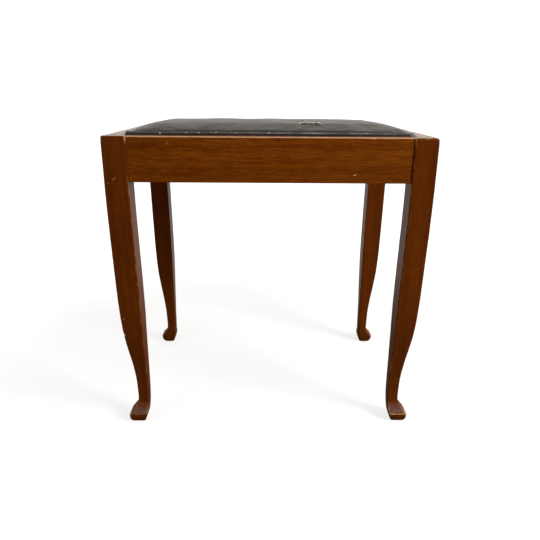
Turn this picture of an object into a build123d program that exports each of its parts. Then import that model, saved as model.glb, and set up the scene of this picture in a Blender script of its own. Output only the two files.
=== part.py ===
# Piano stool: four shaped legs, four tenoned rails and a loose, upholstered drop-in seat.
# Millimetres, +Z up, origin on the floor under the middle of the stool, front towards -Y.
import os

from build123d import *

# Overall sizes
width = 500.0  # over the outer faces of the leg tops
depth = 357.0
frame_height = 492.0  # floor to the top of legs and rails

# Legs: insets run inwards from the leg's outer face, heights run up from the floor
leg_side = 36.3  # square section where the rails join
knee_inset = 2.8
knee_height = 250.0
calf_inset = 6.6
calf_height = 173.0
shin_inset = 15.7
shin_height = 108.0
ankle_inset = 20.2
ankle_height = 52.0
instep_inset = 19.2
instep_height = 35.5
flare_inset = 10.4
flare_height = 25.0
toe_inset = 6.2
toe_height = 12.5
toe_round = 2.0  # how low the toe stays upright before it turns under
sole_inset = 10.5
inner_knee_lean = 2.5  # the inner face's lean past the leg top
inner_knee_height = 240.0
inner_calf_lean = 2.3
inner_calf_height = 160.0
inner_shank_lean = 1.5
inner_shank_height = 50.0
heel_lean = 0.2
heel_height = 19.0
sole_lean = -4.8
leg_top_round = 1.5

# Rails
rail_height = 68.0
rail_thickness = 24.0
rail_setback = 2.0  # rail face behind the leg face
rail_top_round = 1.3
rail_bottom_round = 1.2

# Mitred tenons
tenon_thickness = 9.0
tenon_haunch = 19.0  # rail top to tenon top
tenon_shoulder = 8.0  # rail bottom to tenon bottom
tenon_mitre_gap = 1.0
glue_gap = 0.1

# Seat recess and what carries the seat
seat_recess = 15.0  # frame top to the top of the corner blocks
seat_gap = 1.5  # seat edge to rail
seat_rest_gap = 0.3
block_side = 62.0  # corner block, along each rail
block_height = 28.0
block_leg_gap = 1.0
bearer_width = 14.0
bearer_height = 20.0
bearer_block_gap = 4.0

# Countersunk wood screws
screw_length = 32.0
screw_diameter = 4.2
screw_head_diameter = 8.2
screw_point_length = 7.0
screw_point_diameter = 1.2
screw_slot_width = 1.2
screw_slot_depth = 1.0
screw_gap = 0.1
block_screw_place = 34.0  # along the rail from the inner corner
block_screw_cover = 16.0  # wood between head and rail
block_screw_stagger = 12.0  # height between a block's two screws
screw_bore_gap = 0.6
bearer_screw_pitch = 120.0
bearer_screw_count = 3

# Seat
board_thickness = 9.0
cover_thickness = 1.2
cover_gap = 0.2  # slack between cover and what it wraps
seat_edge_rise = 4.5  # seat edge above the frame top
seat_crown_rise = 16.0  # middle of the seat above the frame top
seat_crown_shares = [(0, 1), (0.4, 1), (0.75, 0.95), (0.9, 0.72), (1, 0.3)]  # place on the half width, share
seat_draw = 1.6  # sides lean in from board to edge
seat_corner_round = 9.0
seat_shoulder_round = 5.0

# Tacks under the seat board
tack_head_diameter = 6.5
tack_head_rise = 0.9
tack_length = 7.5
tack_diameter = 1.6
tack_gap = 0.1
tack_clearance = 3.0  # head to bearers and corner blocks
tack_pitch = 41.0
border_past_tack = 4.0

# Worked-out places
rail_bottom = frame_height - rail_height
rail_inner = rail_setback + rail_thickness
opening_x = width - 2 * rail_inner
opening_y = depth - 2 * rail_inner
seat_rest = frame_height - seat_recess
tenon_outer = rail_setback + (rail_thickness - tenon_thickness) / 2
tenon_inner = tenon_outer + tenon_thickness
tenon_bottom = rail_bottom + tenon_shoulder
tenon_height = rail_height - tenon_shoulder - tenon_haunch

os.makedirs("parts", exist_ok=True)


def save(piece, name):
    """Name a finished piece and write its file."""
    piece.label = name
    export_step(piece, f"parts/{name}.step")


# Legs: one outline, sawn from the front and again from the side.
with BuildLine() as leg_outline:
    outer_top = (0, frame_height)
    outer_shoulder = (0, rail_bottom)
    outer_knee = (knee_inset, knee_height)
    ankle = (ankle_inset, ankle_height)
    toe = (toe_inset, toe_height)
    sole_outer = (sole_inset, 0)
    sole_inner = (leg_side + sole_lean, 0)
    heel = (leg_side + heel_lean, heel_height)
    inner_knee = (leg_side + inner_knee_lean, inner_knee_height)
    inner_shoulder = (leg_side, rail_bottom)
    inner_top = (leg_side, frame_height)
    Polyline(outer_knee, outer_shoulder, outer_top, inner_top, inner_shoulder, inner_knee)
    Spline(
        outer_knee,
        (calf_inset, calf_height),
        (shin_inset, shin_height),
        ankle,
        tangents=[(knee_inset, knee_height - rail_bottom), (0, -1)],
    )
    Spline(
        ankle,
        (instep_inset, instep_height),
        (flare_inset, flare_height),
        toe,
        tangents=[(0, -1), (0, -1)],
    )
    Bezier(toe, (toe_inset, toe_round), sole_outer)
    Line(sole_outer, sole_inner)
    Spline(
        sole_inner,
        heel,
        (leg_side + inner_shank_lean, inner_shank_height),
        (leg_side + inner_calf_lean, inner_calf_height),
        inner_knee,
        tangents=[(heel_lean - sole_lean, 2 * heel_height), (-inner_knee_lean, rail_bottom - inner_knee_height)],
    )

leg_from_front = Plane(origin=(-width / 2, 0, 0), x_dir=(1, 0, 0), z_dir=(0, -1, 0))
leg_from_side = Plane(origin=(0, -depth / 2, 0), x_dir=(0, 1, 0), z_dir=(1, 0, 0))
leg_corner = Plane(origin=(-width / 2, -depth / 2, 0))

# Half-joint plan of a mitred tenon, and the mortise that takes it, from the leg's outer corner
tenon_plan = [
    (leg_side, tenon_outer),
    (leg_side, tenon_inner),
    (tenon_inner + tenon_mitre_gap, tenon_inner),
    (tenon_outer + tenon_mitre_gap, tenon_outer),
]
mortise_outer = tenon_outer - glue_gap
mortise_inner = tenon_inner + glue_gap
mortise_plan = [
    (leg_side, mortise_outer),
    (leg_side, mortise_inner),
    (mortise_inner, mortise_inner),
    (mortise_outer, mortise_outer),
]

with BuildPart() as leg_front_left:
    with BuildSketch(leg_from_front):
        add(leg_outline.line)
        make_face()
    extrude(amount=depth / 2)
    with BuildSketch(leg_from_side):
        add(leg_outline.line)
        make_face()
    extrude(amount=-width / 2, mode=Mode.INTERSECT)
    fillet(leg_front_left.faces().sort_by(Axis.Z)[-1].edges(), radius=leg_top_round)
    # two mortises that meet on the leg's diagonal
    with BuildSketch(leg_corner.offset(tenon_bottom - glue_gap)):
        with BuildLine():
            Polyline(*mortise_plan, close=True)
        make_face()
        with BuildLine():
            Polyline(*[(v, u) for u, v in mortise_plan], close=True)
        make_face()
    extrude(amount=tenon_height + 2 * glue_gap, mode=Mode.SUBTRACT)
    # the seat's corner is let into the leg top
    with BuildSketch(leg_corner.offset(seat_rest)):
        with Locations((rail_inner, rail_inner)):
            Rectangle(leg_side, leg_side, align=(Align.MIN, Align.MIN))
    extrude(amount=seat_recess, mode=Mode.SUBTRACT)

with BuildPart() as leg_front_right:
    mirror(leg_front_left.part, about=Plane.YZ)

with BuildPart() as leg_back_left:
    mirror(leg_front_left.part, about=Plane.XZ)

with BuildPart() as leg_back_right:
    mirror(leg_front_right.part, about=Plane.XZ)

save(leg_front_left.part, "leg_front_left")
save(leg_front_right.part, "leg_front_right")
save(leg_back_left.part, "leg_back_left")
save(leg_back_right.part, "leg_back_right")


# Countersunk wood screw along -Z with the top of its head at the origin
def screw_profile(gap):
    """Half section of the screw, grown by a gap on every side."""
    shank = screw_diameter / 2 + gap
    head = screw_head_diameter / 2 + gap
    point = screw_point_diameter / 2 + gap
    cone = head - shank
    return [
        (0, 0),
        (head, 0),
        (shank, -cone),
        (shank, -(screw_length - screw_point_length)),
        (point, -screw_length - gap),
        (0, -screw_length - gap),
    ]


with BuildPart() as screw:
    with BuildSketch(Plane.XZ):
        with BuildLine():
            Polyline(*screw_profile(0), close=True)
        make_face()
    revolve(axis=Axis.Z)
    with BuildSketch(Plane.XY.offset(-screw_slot_depth)):
        Rectangle(2 * screw_head_diameter, screw_slot_width)
    extrude(amount=2 * screw_slot_depth, mode=Mode.SUBTRACT)

# Hole for one screw, with a bore over its head
with BuildPart() as screw_hole:
    with BuildSketch(Plane.XZ):
        with BuildLine():
            Polyline(*screw_profile(screw_gap), close=True)
        make_face()
    revolve(axis=Axis.Z)
    with BuildSketch(Plane.XY):
        Circle(screw_head_diameter / 2 + screw_bore_gap)
    extrude(amount=block_side)

# Screw places, each a plane whose -Z runs along the screw into the wood
inner_corner = Vector(-opening_x / 2, -opening_y / 2, seat_rest - block_height / 2)
block_screw_planes = [
    Plane(
        origin=inner_corner + Vector(block_screw_place, block_screw_cover, block_screw_stagger / 2),
        x_dir=(1, 0, 0),
        z_dir=(0, 1, 0),
    ),
    Plane(
        origin=inner_corner + Vector(block_screw_cover, block_screw_place, -block_screw_stagger / 2),
        x_dir=(0, 1, 0),
        z_dir=(1, 0, 0),
    ),
]
bearer_screw_height = seat_rest - bearer_height / 2
bearer_screw_planes = [
    Plane(
        origin=(
            (i - (bearer_screw_count - 1) / 2) * bearer_screw_pitch,
            -opening_y / 2 + bearer_width,
            bearer_screw_height,
        ),
        x_dir=(1, 0, 0),
        z_dir=(0, 1, 0),
    )
    for i in range(bearer_screw_count)
]

# One quarter's screw places, mirrored to all four corners and both long rails
with BuildPart() as quarter_screws:
    for plane in block_screw_planes:
        add(screw.part.located(plane.location))

with BuildPart() as quarter_holes:
    for plane in block_screw_planes:
        add(screw_hole.part.located(plane.location))

with BuildPart() as corner_block_screws:
    add(quarter_screws.part)
    mirror(about=Plane.YZ)
    mirror(about=Plane.XZ)

with BuildPart() as corner_block_holes:
    add(quarter_holes.part)
    mirror(about=Plane.YZ)
    mirror(about=Plane.XZ)

with BuildPart() as bearer_screws:
    for plane in bearer_screw_planes:
        add(screw.part.located(plane.location))
    mirror(about=Plane.XZ)

with BuildPart() as bearer_holes:
    for plane in bearer_screw_planes:
        add(screw_hole.part.located(plane.location))
    mirror(about=Plane.XZ)

save(corner_block_screws.part, "corner_block_screws")
save(bearer_screws.part, "bearer_screws")


# Rails: a plank between two legs with a mitred tenon at each end
def make_rail(span, reach, turn):
    """Rail along local X on the side that faces local -Y, turned about the stool's upright axis."""
    base = Plane.XY.rotated((0, 0, turn))
    with BuildPart() as rail:
        with BuildSketch(base.offset(rail_bottom)):
            with Locations((0, -reach + rail_setback + rail_thickness / 2)):
                Rectangle(span - 2 * leg_side, rail_thickness)
        extrude(amount=rail_height)
        face_edges = rail.faces().sort_by(Axis(origin=(0, 0, 0), direction=-base.y_dir))[-1].edges()
        fillet(face_edges.sort_by(Axis.Z)[-1], radius=rail_top_round)
        face_edges = rail.faces().sort_by(Axis(origin=(0, 0, 0), direction=-base.y_dir))[-1].edges()
        fillet(face_edges.sort_by(Axis.Z)[0], radius=rail_bottom_round)
        with BuildSketch(base.offset(tenon_bottom)):
            with BuildLine():
                Polyline(*[(-span / 2 + u, -reach + v) for u, v in tenon_plan], close=True)
            make_face()
            mirror(about=Plane.YZ)
        extrude(amount=tenon_height)
        add(corner_block_holes.part, mode=Mode.SUBTRACT)
        add(bearer_holes.part, mode=Mode.SUBTRACT)
    return rail.part


save(make_rail(width, depth / 2, 0), "front_rail")
save(make_rail(depth, width / 2, 90), "right_rail")
save(make_rail(width, depth / 2, 180), "back_rail")
save(make_rail(depth, width / 2, 270), "left_rail")

# Corner blocks: three-sided blocks, clipped to clear the leg, with their tops level under the seat
block_clip = 2 * (leg_side - rail_inner + block_leg_gap)
with BuildPart() as corner_block_front_left:
    with BuildSketch(Plane(origin=(inner_corner.X, inner_corner.Y, seat_rest - block_height))):
        with BuildLine():
            Polyline((block_clip, 0), (block_side, 0), (0, block_side), (0, block_clip), close=True)
        make_face()
    extrude(amount=block_height)
    add(quarter_holes.part, mode=Mode.SUBTRACT)

with BuildPart() as corner_block_front_right:
    mirror(corner_block_front_left.part, about=Plane.YZ)

with BuildPart() as corner_block_back_left:
    mirror(corner_block_front_left.part, about=Plane.XZ)

with BuildPart() as corner_block_back_right:
    mirror(corner_block_front_right.part, about=Plane.XZ)

save(corner_block_front_left.part, "corner_block_front_left")
save(corner_block_front_right.part, "corner_block_front_right")
save(corner_block_back_left.part, "corner_block_back_left")
save(corner_block_back_right.part, "corner_block_back_right")

# Bearers: strips screwed to the long rails between the corner blocks
bearer_length = opening_x - 2 * (block_side + bearer_block_gap)
with BuildPart() as front_bearer:
    with BuildSketch(Plane.XY.offset(seat_rest - bearer_height)):
        with Locations((0, -opening_y / 2)):
            Rectangle(bearer_length, bearer_width, align=(Align.CENTER, Align.MIN))
    extrude(amount=bearer_height)
    add(bearer_holes.part, mode=Mode.SUBTRACT)

with BuildPart() as back_bearer:
    mirror(front_bearer.part, about=Plane.XZ)

save(front_bearer.part, "front_bearer")
save(back_bearer.part, "back_bearer")

# Seat: heights from the bottom of the cover's turned-under border upwards
seat_half_x = opening_x / 2 - seat_gap
seat_half_y = opening_y / 2 - seat_gap
border_bottom = seat_rest + seat_rest_gap
board_bottom = border_bottom + cover_thickness
board_top = board_bottom + board_thickness
cover_edge = frame_height + seat_edge_rise
cover_crown = frame_height + seat_crown_rise
filling_inset = cover_thickness + cover_gap


def make_pad_form(inset, base):
    """Crowned block, an inset inside the cover's outer skin: arched sections lofted across the width.

    Each section stands upright beside the board, draws in to its edge and arches over the middle."""
    half_x = seat_half_x - inset
    half_y = seat_half_y - inset
    edge = cover_edge - inset
    edge_y = half_y - seat_draw
    crown = seat_crown_rise - seat_edge_rise
    left_half = [(-place, share) for place, share in seat_crown_shares[:0:-1]]
    with BuildPart() as form:
        for place, share in left_half + seat_crown_shares:
            with BuildSketch(Plane.YZ.offset(place * half_x)):
                with BuildLine():
                    Polyline(
                        (-edge_y, edge),
                        (-half_y, board_top),
                        (-half_y, base),
                        (half_y, base),
                        (half_y, board_top),
                        (edge_y, edge),
                    )
                    ThreePointArc((edge_y, edge), (0, edge + crown * share), (-edge_y, edge))
                make_face()
        loft()
        upright = form.edges().filter_by(lambda e: abs(e.tangent_at(0.5).Z) > 0.9)
        fillet(upright, radius=seat_corner_round - inset)
        rim = form.faces().sort_by(Axis.Z)[-1].edges()
        fillet(rim, radius=seat_shoulder_round - inset)
    return form.part


# Tacks: domed heads under the border, in rows that stay clear of the bearers and the corner blocks
tack_head_radius = tack_head_diameter / 2
tack_inset = bearer_width - seat_gap + tack_clearance + tack_head_radius
tack_row_start = block_side - seat_gap - tack_inset + (tack_clearance + tack_head_radius) * 2**0.5
long_row_count = int((opening_x - 2 * tack_row_start) // tack_pitch) + 1
short_row_count = int((opening_y - 2 * tack_row_start) // tack_pitch) + 1
long_rows = GridLocations(tack_pitch, 2 * (seat_half_y - tack_inset), long_row_count, 2)
short_rows = GridLocations(2 * (seat_half_x - tack_inset), tack_pitch, 2, short_row_count)
tack_places = [*long_rows.locations, *short_rows.locations]

with BuildPart() as tack:
    with BuildSketch(Plane.XZ):
        with BuildLine():
            Polyline(
                (tack_head_radius, 0),
                (tack_diameter / 2, 0),
                (tack_diameter / 2, tack_length - tack_diameter),
                (0, tack_length),
                (0, -tack_head_rise),
            )
            TangentArc((0, -tack_head_rise), (tack_head_radius, 0), tangent=(1, 0))
        make_face()
    revolve(axis=Axis.Z)

with BuildPart() as cover_tacks:
    for place in tack_places:
        add(tack.part.located(Location((0, 0, border_bottom)) * place))

with BuildPart() as tack_holes:
    with BuildSketch(Plane.XY.offset(border_bottom)):
        for place in tack_places:
            with Locations(place):
                Circle(tack_diameter / 2 + tack_gap)
    extrude(amount=tack_length + tack_gap)

# Seat board: plywood with rounded corners
with BuildPart() as seat_board:
    with BuildSketch(Plane.XY.offset(board_bottom)):
        RectangleRounded(
            2 * (seat_half_x - filling_inset),
            2 * (seat_half_y - filling_inset),
            seat_corner_round - filling_inset,
        )
    extrude(amount=board_thickness)
    add(tack_holes.part, mode=Mode.SUBTRACT)

# Foam: fills the cover above the board
with BuildPart() as seat_foam:
    add(make_pad_form(filling_inset, board_bottom))
    split(bisect_by=Plane.XY.offset(board_top), keep=Keep.TOP)

# Cover: leathercloth over foam and board edge, turned under the board as a border
border_width = tack_inset + tack_head_radius + border_past_tack
with BuildPart() as seat_cover:
    add(make_pad_form(0, border_bottom))
    add(make_pad_form(cover_thickness, board_bottom), mode=Mode.SUBTRACT)
    with BuildSketch(Plane.XY.offset(border_bottom)):
        Rectangle(2 * (seat_half_x - border_width), 2 * (seat_half_y - border_width))
    extrude(amount=cover_thickness, mode=Mode.SUBTRACT)
    add(tack_holes.part, mode=Mode.SUBTRACT)

save(seat_board.part, "seat_board")
save(seat_foam.part, "seat_foam")
save(seat_cover.part, "seat_cover")
save(cover_tacks.part, "cover_tacks")
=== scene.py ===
# Piano stool: four shaped legs and four rails in varnished hardwood, with a loose leathercloth seat.
# Metres, +Z up, origin on the floor under the middle of the stool, front towards -Y.
import math

import bpy
import numpy as np
from mathutils import Matrix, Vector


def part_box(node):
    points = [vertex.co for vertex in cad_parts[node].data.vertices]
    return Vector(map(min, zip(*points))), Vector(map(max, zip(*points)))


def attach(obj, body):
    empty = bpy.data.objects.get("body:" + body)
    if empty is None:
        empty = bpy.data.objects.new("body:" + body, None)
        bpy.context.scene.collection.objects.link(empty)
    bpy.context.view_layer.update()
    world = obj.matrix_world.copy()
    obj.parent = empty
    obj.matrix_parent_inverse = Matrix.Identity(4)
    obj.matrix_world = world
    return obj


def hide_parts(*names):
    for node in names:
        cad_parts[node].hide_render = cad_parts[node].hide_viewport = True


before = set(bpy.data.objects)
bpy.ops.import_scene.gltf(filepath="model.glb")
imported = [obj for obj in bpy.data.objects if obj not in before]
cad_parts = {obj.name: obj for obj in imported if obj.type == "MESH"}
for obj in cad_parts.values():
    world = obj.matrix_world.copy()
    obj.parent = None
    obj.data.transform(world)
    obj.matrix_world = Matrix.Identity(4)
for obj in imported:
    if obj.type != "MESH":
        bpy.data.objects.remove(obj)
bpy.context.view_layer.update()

# Legs
# Four posts of red-brown hardwood, sawn to one curved outline from the front and again from the side,
# so that each ends in a small turned-out foot. Arrises are eased by hand and the satin varnish is rubbed.
leg_low, leg_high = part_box("leg_front_left")
outer_faces = np.array([-leg_low.x, -leg_low.y])
frame_top = leg_high.z
leg_side = 0.0363
rail_height = 0.068
rail_inner = 0.026  # outer face of the leg to the inner face of the rail
seat_sunk = 0.015  # the seat rests this far below the frame's top
rail_bottom = frame_top - rail_height
seat_rest = frame_top - seat_sunk
leg_outer_line = np.array([  # height, inset from the outer face
    (0.0125, 0.0052), (0.0150, 0.0053), (0.0170, 0.0064), (0.0220, 0.0104), (0.0270, 0.0146),
    (0.0310, 0.0180), (0.0360, 0.0194), (0.0440, 0.0197), (0.0520, 0.0196), (0.0745, 0.0190),
    (0.1080, 0.0156), (0.1410, 0.0107), (0.1730, 0.0066), (0.2030, 0.0045), (0.2500, 0.0028),
    (rail_bottom, 0.0), (frame_top, 0.0),
])
leg_inner_line = np.array([  # height, distance from the same outer face
    (0.0, 0.0315), (0.0080, 0.0344), (0.0190, 0.0370), (0.0500, 0.0385), (0.1600, 0.0388),
    (0.2000, 0.0391), (0.2400, 0.0388), (rail_bottom, leg_side), (frame_top, leg_side),
])
sole_inset = 0.0105
toe_bend = 0.0020  # height of the control point of the curve under the toe
ankle = 0.060  # rows of points lie closest below the ankle
knee = 0.250
leg_arris_lines = np.array([  # height, and radii: outer corner, by the front rail, inner, by the side rail
    (0.0, 0.0042, 0.0042, 0.0070, 0.0065),
    (0.0125, 0.0030, 0.0030, 0.0060, 0.0060),
    (0.0300, 0.0022, 0.0022, 0.0040, 0.0050),
    (0.0600, 0.0017, 0.0017, 0.0020, 0.0024),
    (frame_top - 0.010, 0.0014, 0.0014, 0.0010, 0.0014),
    (frame_top, 0.0032, 0.0014, 0.0010, 0.0014),
])
leg_waver = 0.16  # share by which the radii wander
joint_ease = 0.0014  # at the top, where the leg meets the rails and the seat
top_rings = np.array([0.0008, 0.0020])  # rings on the flat top, this far in from its rim
leg_nick_height = 0.1685  # a knock on the outer arris of the front left leg
leg_nick_reach = 0.0024
leg_nick_depth = 0.0030
arc_steps = 7
side_shares = np.array([0.02, 0.05, 0.1, 0.2, 0.35, 0.5, 0.65, 0.8, 0.9, 0.95, 0.98])
arris_of_column = np.arange(4)[:, None] + np.concatenate([np.zeros(arc_steps), side_shares > 0.5])
arris_of_column = arris_of_column.astype(int).ravel() % 4
edge_reach = 0.0009  # how far rubbing spreads from an arris
leg_rubbing = np.array([0.36, 0.40, 0.24, 0.36])  # for the same four corners
joint_rubbing = np.array([0.0, 0.34, 0.0, 0.34])  # more of it near the top, beside the rails
joint_rubbing_reach = 0.009
foot_rubbing = 0.15  # more of it on the foot, whose outward faces also take a scuff tone that is partly painted sheen
foot_height = 0.0330
foot_fade = 0.014
toe_line_height = 0.0155  # the rubbed edge above the toe
toe_line_spread = 0.0011
outer_skin = 0.003  # points this close to the outer line face outwards
sole_reach = 0.002
rim_rubbing = 0.7  # share of an end's rubbing that the rim of the top gets
rim_height = 0.7  # and the share of the rounding there that it spreads down
rim_reach = 0.0008  # and its reach in over the top


def bell(distance, reach):
    """1 at no distance, falling off as exp(-(distance / reach)^2)."""
    return np.exp(-((distance / reach) ** 2))


def smooth_through(line, places):
    """Curve through (place, value) points: a cubic between each two, whose slope at a point is the
    harmonic mean of the chords on both sides, or level where they turn."""
    knots, values = line.T
    steps = np.diff(knots)
    chords = np.diff(values) / steps
    same_way = chords[1:] * chords[:-1] > 0
    means = 2 * chords[1:] * chords[:-1] / np.where(same_way, chords[1:] + chords[:-1], 1)
    slopes = np.concatenate([chords[:1], np.where(same_way, means, 0), chords[-1:]])
    k = np.clip(np.searchsorted(knots, places) - 1, 0, len(steps) - 1)
    t = (places - knots[k]) / steps[k]
    bow = (slopes[k] - chords[k]) * (1 - t) - (slopes[k + 1] - chords[k]) * t
    return values[k] + steps[k] * (chords[k] * t + bow * t * (1 - t))


def eased_rings(low, high, radii):
    """Rows of corner arcs (rows, 4, steps, 2), each row a rectangle from low to high, both (rows, 2),
    whose corners have their own radius (rows, 4): an arc point is the arc's centre plus radius times
    (cos, sin)."""
    angles = np.pi + np.pi / 2 * (np.arange(4)[:, None] + np.linspace(0, 1, arc_steps))
    rays = np.stack([np.cos(angles), np.sin(angles)], axis=-1)
    at_high = np.array([(0, 0), (1, 0), (1, 1), (0, 1)])
    corners = np.where(at_high, high[:, None], low[:, None])
    centres = corners + radii[..., None] * (1 - 2 * at_high)
    return centres[:, :, None] + radii[:, :, None, None] * rays


def close_rings(arcs):
    """Arcs joined by straight sides: a side point is a share of the way from the end of one arc to the
    start of the next. Gives the rings and each point's distance to an arc."""
    ends = arcs[:, :, -1:]
    starts = np.roll(arcs[:, :, :1], -1, axis=1)
    sides = ends + (starts - ends) * side_shares[:, None]
    gaps = np.minimum(side_shares, 1 - side_shares) * np.linalg.norm(starts - ends, axis=-1)
    gaps = np.concatenate([np.zeros(arcs.shape[:3]), gaps], axis=2)
    rings = np.concatenate([arcs, sides], axis=2)
    return rings.reshape(len(arcs), -1, 2), gaps.reshape(len(arcs), -1)


def tube_faces(rows, columns):
    """Faces of a tube: quads between neighbouring rows and columns, where the last column meets the
    first, and one flat face over each end."""
    index = np.arange(rows * columns).reshape(rows, columns)
    across = np.roll(index, -1, axis=1)
    quads = np.stack([index[:-1], across[:-1], across[1:], index[1:]], axis=-1)
    return quads.reshape(-1, 4).tolist() + [index[0, ::-1].tolist(), index[-1].tolist()]


def make_piece(name, points, faces, sharp_angle=40):
    """Mesh object from points and faces, shaded smooth except across edges over the sharp angle."""
    mesh = bpy.data.meshes.new(name)
    mesh.from_pydata(points.reshape(-1, 3).tolist(), [], faces)
    mesh.shade_smooth()
    mesh.set_sharp_from_angle(angle=math.radians(sharp_angle))
    piece = bpy.data.objects.new(name, mesh)
    bpy.context.scene.collection.objects.link(piece)
    return piece


def store(piece, name, values):
    """Keeps one number for each point of a piece, for its material."""
    attribute = piece.data.attributes.new(name, "FLOAT", "POINT")
    attribute.data.foreach_set("value", values.astype(np.float32).ravel())


def hand_waver(places, seed):
    """Slow uneven waves about one unit high, as hand work leaves: six sines of 25 to 90 mm."""
    draw = np.random.default_rng(seed)
    lengths = draw.uniform(0.025, 0.090, 6)
    phases = draw.uniform(0, 2 * np.pi, 6)
    return np.sin(2 * np.pi * places[:, None] / lengths + phases).sum(axis=1) / 3


def leg_form(seed, top_ease, end_rubbing, nicked):
    """Points (rows, columns, 3) of the front left leg, and how rubbed, scuffed and dulled each is, from 0
    to 1: shoes rub the foot's edges, its outward faces take a grey tone that is partly scuffs and partly
    painted sheen, and hands dull the top. Each row is an eased square between the outer and the inner
    line at that height. Below the toe the outer line turns under on a parabola,
    toe - 2 (toe - bend) t + (toe - 2 bend) t^2 high and t^2 of the way to the sole. At the top the outer
    sides round over on a quarter circle, and above the seat rest the inner corner is cut away."""
    toe_height, toe_inset = leg_outer_line[0]
    turn = np.linspace(0, np.pi / 2, 14)[:-1]
    heights = np.concatenate([
        toe_height * (1 - np.cos(turn)),
        np.arange(toe_height, ankle, 0.0009),
        np.arange(ankle, knee, 0.003),
        np.arange(knee, seat_rest - 0.004, 0.004),
        [seat_rest, seat_rest],
        np.linspace(seat_rest + 0.002, frame_top - top_ease, 6),
        frame_top - top_ease * (1 - np.sin(np.linspace(0.2, np.pi / 2, 6))),
        np.full(len(top_rings), frame_top),
    ])
    inset = np.concatenate([np.zeros(len(heights) - len(top_rings)), top_rings])
    cut_from = np.argmax(heights >= seat_rest) + 1
    outer = smooth_through(leg_outer_line, np.maximum(heights, toe_height))
    fall = 2 * (toe_height - toe_bend)
    hollow = toe_height - 2 * toe_bend
    t = (fall - np.sqrt(fall**2 - 4 * hollow * np.maximum(toe_height - heights, 0))) / (2 * hollow)
    outer = outer + (sole_inset - toe_inset) * t**2
    inner = smooth_through(leg_inner_line, heights)
    rise = np.clip((heights - frame_top + top_ease) / top_ease, 0, 1)
    turned_in = 1 - np.sqrt(1 - rise**2)
    joint_inset = joint_ease * turned_in + inset
    low = np.stack([outer + top_ease * turned_in + inset] * 2, axis=-1)
    high = np.stack([inner - joint_inset] * 2, axis=-1)
    radii = [np.interp(heights, leg_arris_lines[:, 0], radius) for radius in leg_arris_lines.T[1:]]
    radii = np.stack(radii, axis=1) - joint_ease / 2 * turned_in[:, None]
    waver = np.stack([hand_waver(heights, seed + corner) for corner in range(4)], axis=1)
    radii = radii * (1 + leg_waver * waver)
    if nicked:
        radii[:, 0] += leg_nick_depth * bell(heights - leg_nick_height, leg_nick_reach)
    arcs = eased_rings(low, high, radii)
    step = np.linspace(-1, 1, arc_steps)
    wall = (rail_inner - joint_inset)[cut_from:, None]
    reach = high[cut_from:, :1] - wall
    arcs[cut_from:, 2, :, 0] = wall + reach * np.maximum(-step, 0)
    arcs[cut_from:, 2, :, 1] = wall + reach * np.maximum(step, 0)
    rings, gaps = close_rings(arcs)
    levels = np.broadcast_to(heights[:, None, None], rings.shape[:2] + (1,))
    on_foot = np.clip((foot_height - heights) / foot_fade, 0, 1) * (heights > toe_line_height)
    near_top = bell(frame_top - heights, joint_rubbing_reach)
    rubbed = leg_rubbing[arris_of_column] + foot_rubbing * on_foot[:, None]
    rubbed += joint_rubbing[arris_of_column] * near_top[:, None]
    rubbed *= bell(gaps, edge_reach)
    rim = rim_rubbing * end_rubbing * bell(frame_top - heights, rim_height * top_ease)
    sole = bell(heights, sole_reach)
    outward = rings.min(axis=-1) < outer[:, None] + outer_skin
    toe = end_rubbing * outward * bell(heights - toe_line_height, toe_line_spread)[:, None]
    rubbed = np.maximum(np.maximum(rubbed, toe), np.maximum(rim, sole)[:, None])
    worn = {
        "rubbed": rubbed * bell(inset, rim_reach)[:, None],
        "scuffed_and_sheen": outward * on_foot[:, None],
        "dulled": np.broadcast_to(rise[:, None] ** 2, rubbed.shape),
    }
    return np.concatenate([rings - outer_faces, levels], axis=-1), worn


def put(tree, kind, inputs=(), **settings):
    """One shader node. Settings are its own properties; inputs are its sockets by name or number, each
    a plain value or another node's output."""
    made = tree.nodes.new("ShaderNode" + kind)
    for name, value in settings.items():
        setattr(made, name, value)
    for name, value in dict(inputs).items():
        if isinstance(value, bpy.types.NodeSocket):
            tree.links.new(value, made.inputs[name])
        else:
            made.inputs[name].default_value = value
    return made


def join(tree, value, socket):
    """Links an output to a socket."""
    tree.links.new(value, socket)


def calc(tree, operation, a, b=0.0):
    """Output of a Math node."""
    return put(tree, "Math", {0: a, 1: b}, operation=operation).outputs[0]


def line(tree, value, slope, start):
    """Value times slope plus start."""
    return put(tree, "Math", {0: value, 1: slope, 2: start}, operation="MULTIPLY_ADD").outputs[0]


def ramp(tree, value, start, end):
    """0 at start, 1 at end, and a smooth step between."""
    inputs = {"Value": value, "From Min": start, "From Max": end}
    return put(tree, "MapRange", inputs, interpolation_type="SMOOTHSTEP").outputs["Result"]


def vector(tree, operation, a, b=(0, 0, 0)):
    """Outputs of a vector Math node."""
    return put(tree, "VectorMath", {0: a, 1: b}, operation=operation).outputs


def noise(tree, place, scales, detail=2.0, roughness=0.5):
    """Noise from 0 to 1 with its own number of features per metre along each axis."""
    scaled = vector(tree, "MULTIPLY", place, scales)[0]
    inputs = {"Vector": scaled, "Scale": 1.0, "Detail": detail, "Roughness": roughness}
    return put(tree, "TexNoise", inputs).outputs["Fac"]


def mixed(tree, share, a, b, blend="MIX"):
    """Output of a colour Mix node: a where share is 0, b where it is 1."""
    return put(tree, "Mix", {0: share, 6: a, 7: b}, data_type="RGBA", blend_type=blend).outputs[2]


def raised(tree, height, strength, distance):
    """Normal from a Bump node."""
    return put(tree, "Bump", {"Strength": strength, "Distance": distance, "Height": height}).outputs[0]


def stored(tree, name):
    """Output that gives the numbers kept on a piece under a name."""
    return put(tree, "Attribute", attribute_name=name).outputs["Fac"]


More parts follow.
